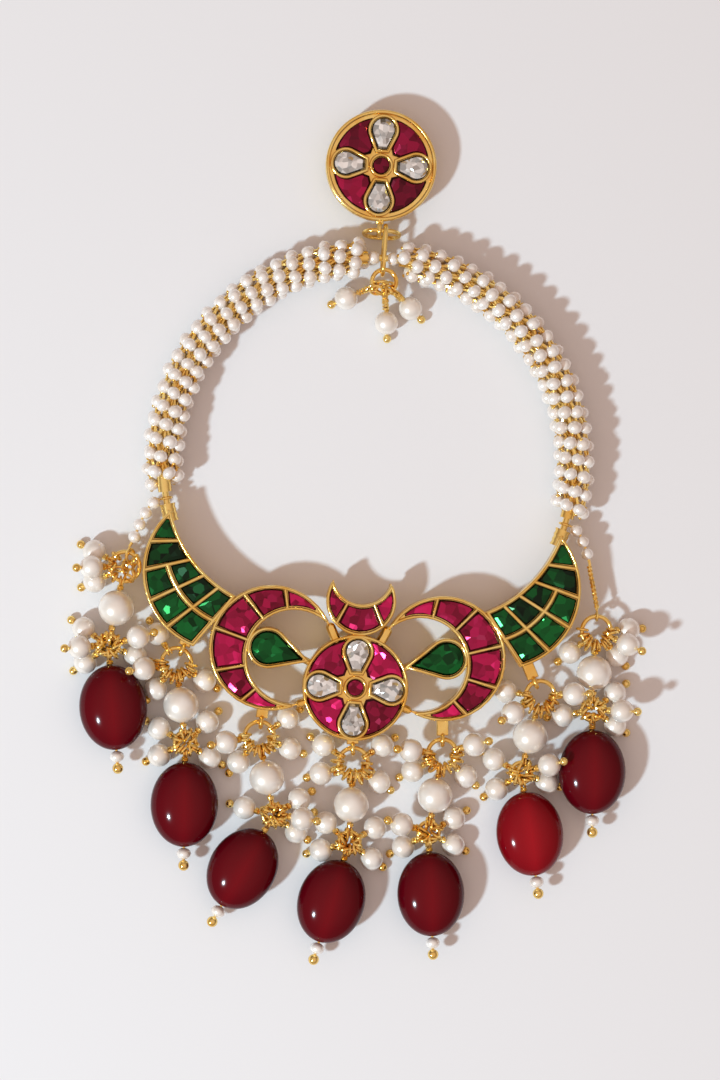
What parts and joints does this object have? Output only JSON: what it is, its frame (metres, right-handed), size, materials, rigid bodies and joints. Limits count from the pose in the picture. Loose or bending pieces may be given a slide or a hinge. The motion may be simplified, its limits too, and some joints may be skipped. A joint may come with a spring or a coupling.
{
  "type": "chandbali earring",
  "caption": "Chandbali earring: stone-set stud, hoop woven with seed pearls, moon-shaped plaque with set stones, and a row of pearl and red bead drops.",
  "frame": {"origin": "on the surface the earring lies on, under the middle of the clip behind the stud", "axes": "+Y from the drops towards the stud, +Z out of the front face, +X to the viewer's right"},
  "size_m": [0.0799, 0.1167, 0.0064],
  "materials": {
    "gold": "polished, gold plated",
    "ruby": "faceted, foiled",
    "emerald": "faceted, foiled",
    "polki": "faceted, foiled",
    "pearl": "pearly lustre",
    "red_bead": "polished"
  },
  "bodies": {
    "root": {"stud_setting": "gold", "stud_polki": "polki", "stud_rubies": "ruby", "ear_clip": "gold", "stud_link": "gold", "hoop_link": "gold", "top_ring": "gold", "top_pins": "gold", "top_pearls": "pearl", "hoop_wire": "gold", "hoop_weave": "pearl", "side_string_left": "pearl", "side_string_right": "pearl", "chand_frame": "gold", "left_horn_emeralds": "emerald", "right_horn_emeralds": "emerald", "left_curl_rubies": "ruby", "right_curl_rubies": "ruby", "crown_rubies": "ruby", "flower_polki": "polki", "flower_rubies": "ruby", "left_pear_emerald": "emerald", "right_pear_emerald": "emerald", "drop_1_links": "gold", "drop_1_pins": "gold", "drop_1_pearls": "pearl", "drop_1_large_pearl": "pearl", "drop_1_bead": "red_bead", "drop_2_links": "gold", "drop_2_pins": "gold", "drop_2_pearls": "pearl", "drop_2_large_pearl": "pearl", "drop_2_bead": "red_bead", "drop_3_links": "gold", "drop_3_pins": "gold", "drop_3_pearls": "pearl", "drop_3_large_pearl": "pearl", "drop_3_bead": "red_bead", "drop_4_links": "gold", "drop_4_pins": "gold", "drop_4_pearls": "pearl", "drop_4_large_pearl": "pearl", "drop_4_bead": "red_bead", "drop_5_links": "gold", "drop_5_pins": "gold", "drop_5_pearls": "pearl", "drop_5_large_pearl": "pearl", "drop_5_bead": "red_bead", "drop_6_links": "gold", "drop_6_pins": "gold", "drop_6_pearls": "pearl", "drop_6_large_pearl": "pearl", "drop_6_bead": "red_bead", "drop_7_links": "gold", "drop_7_pins": "gold", "drop_7_pearls": "pearl", "drop_7_large_pearl": "pearl", "drop_7_bead": "red_bead"}
  },
  "joints": []
}
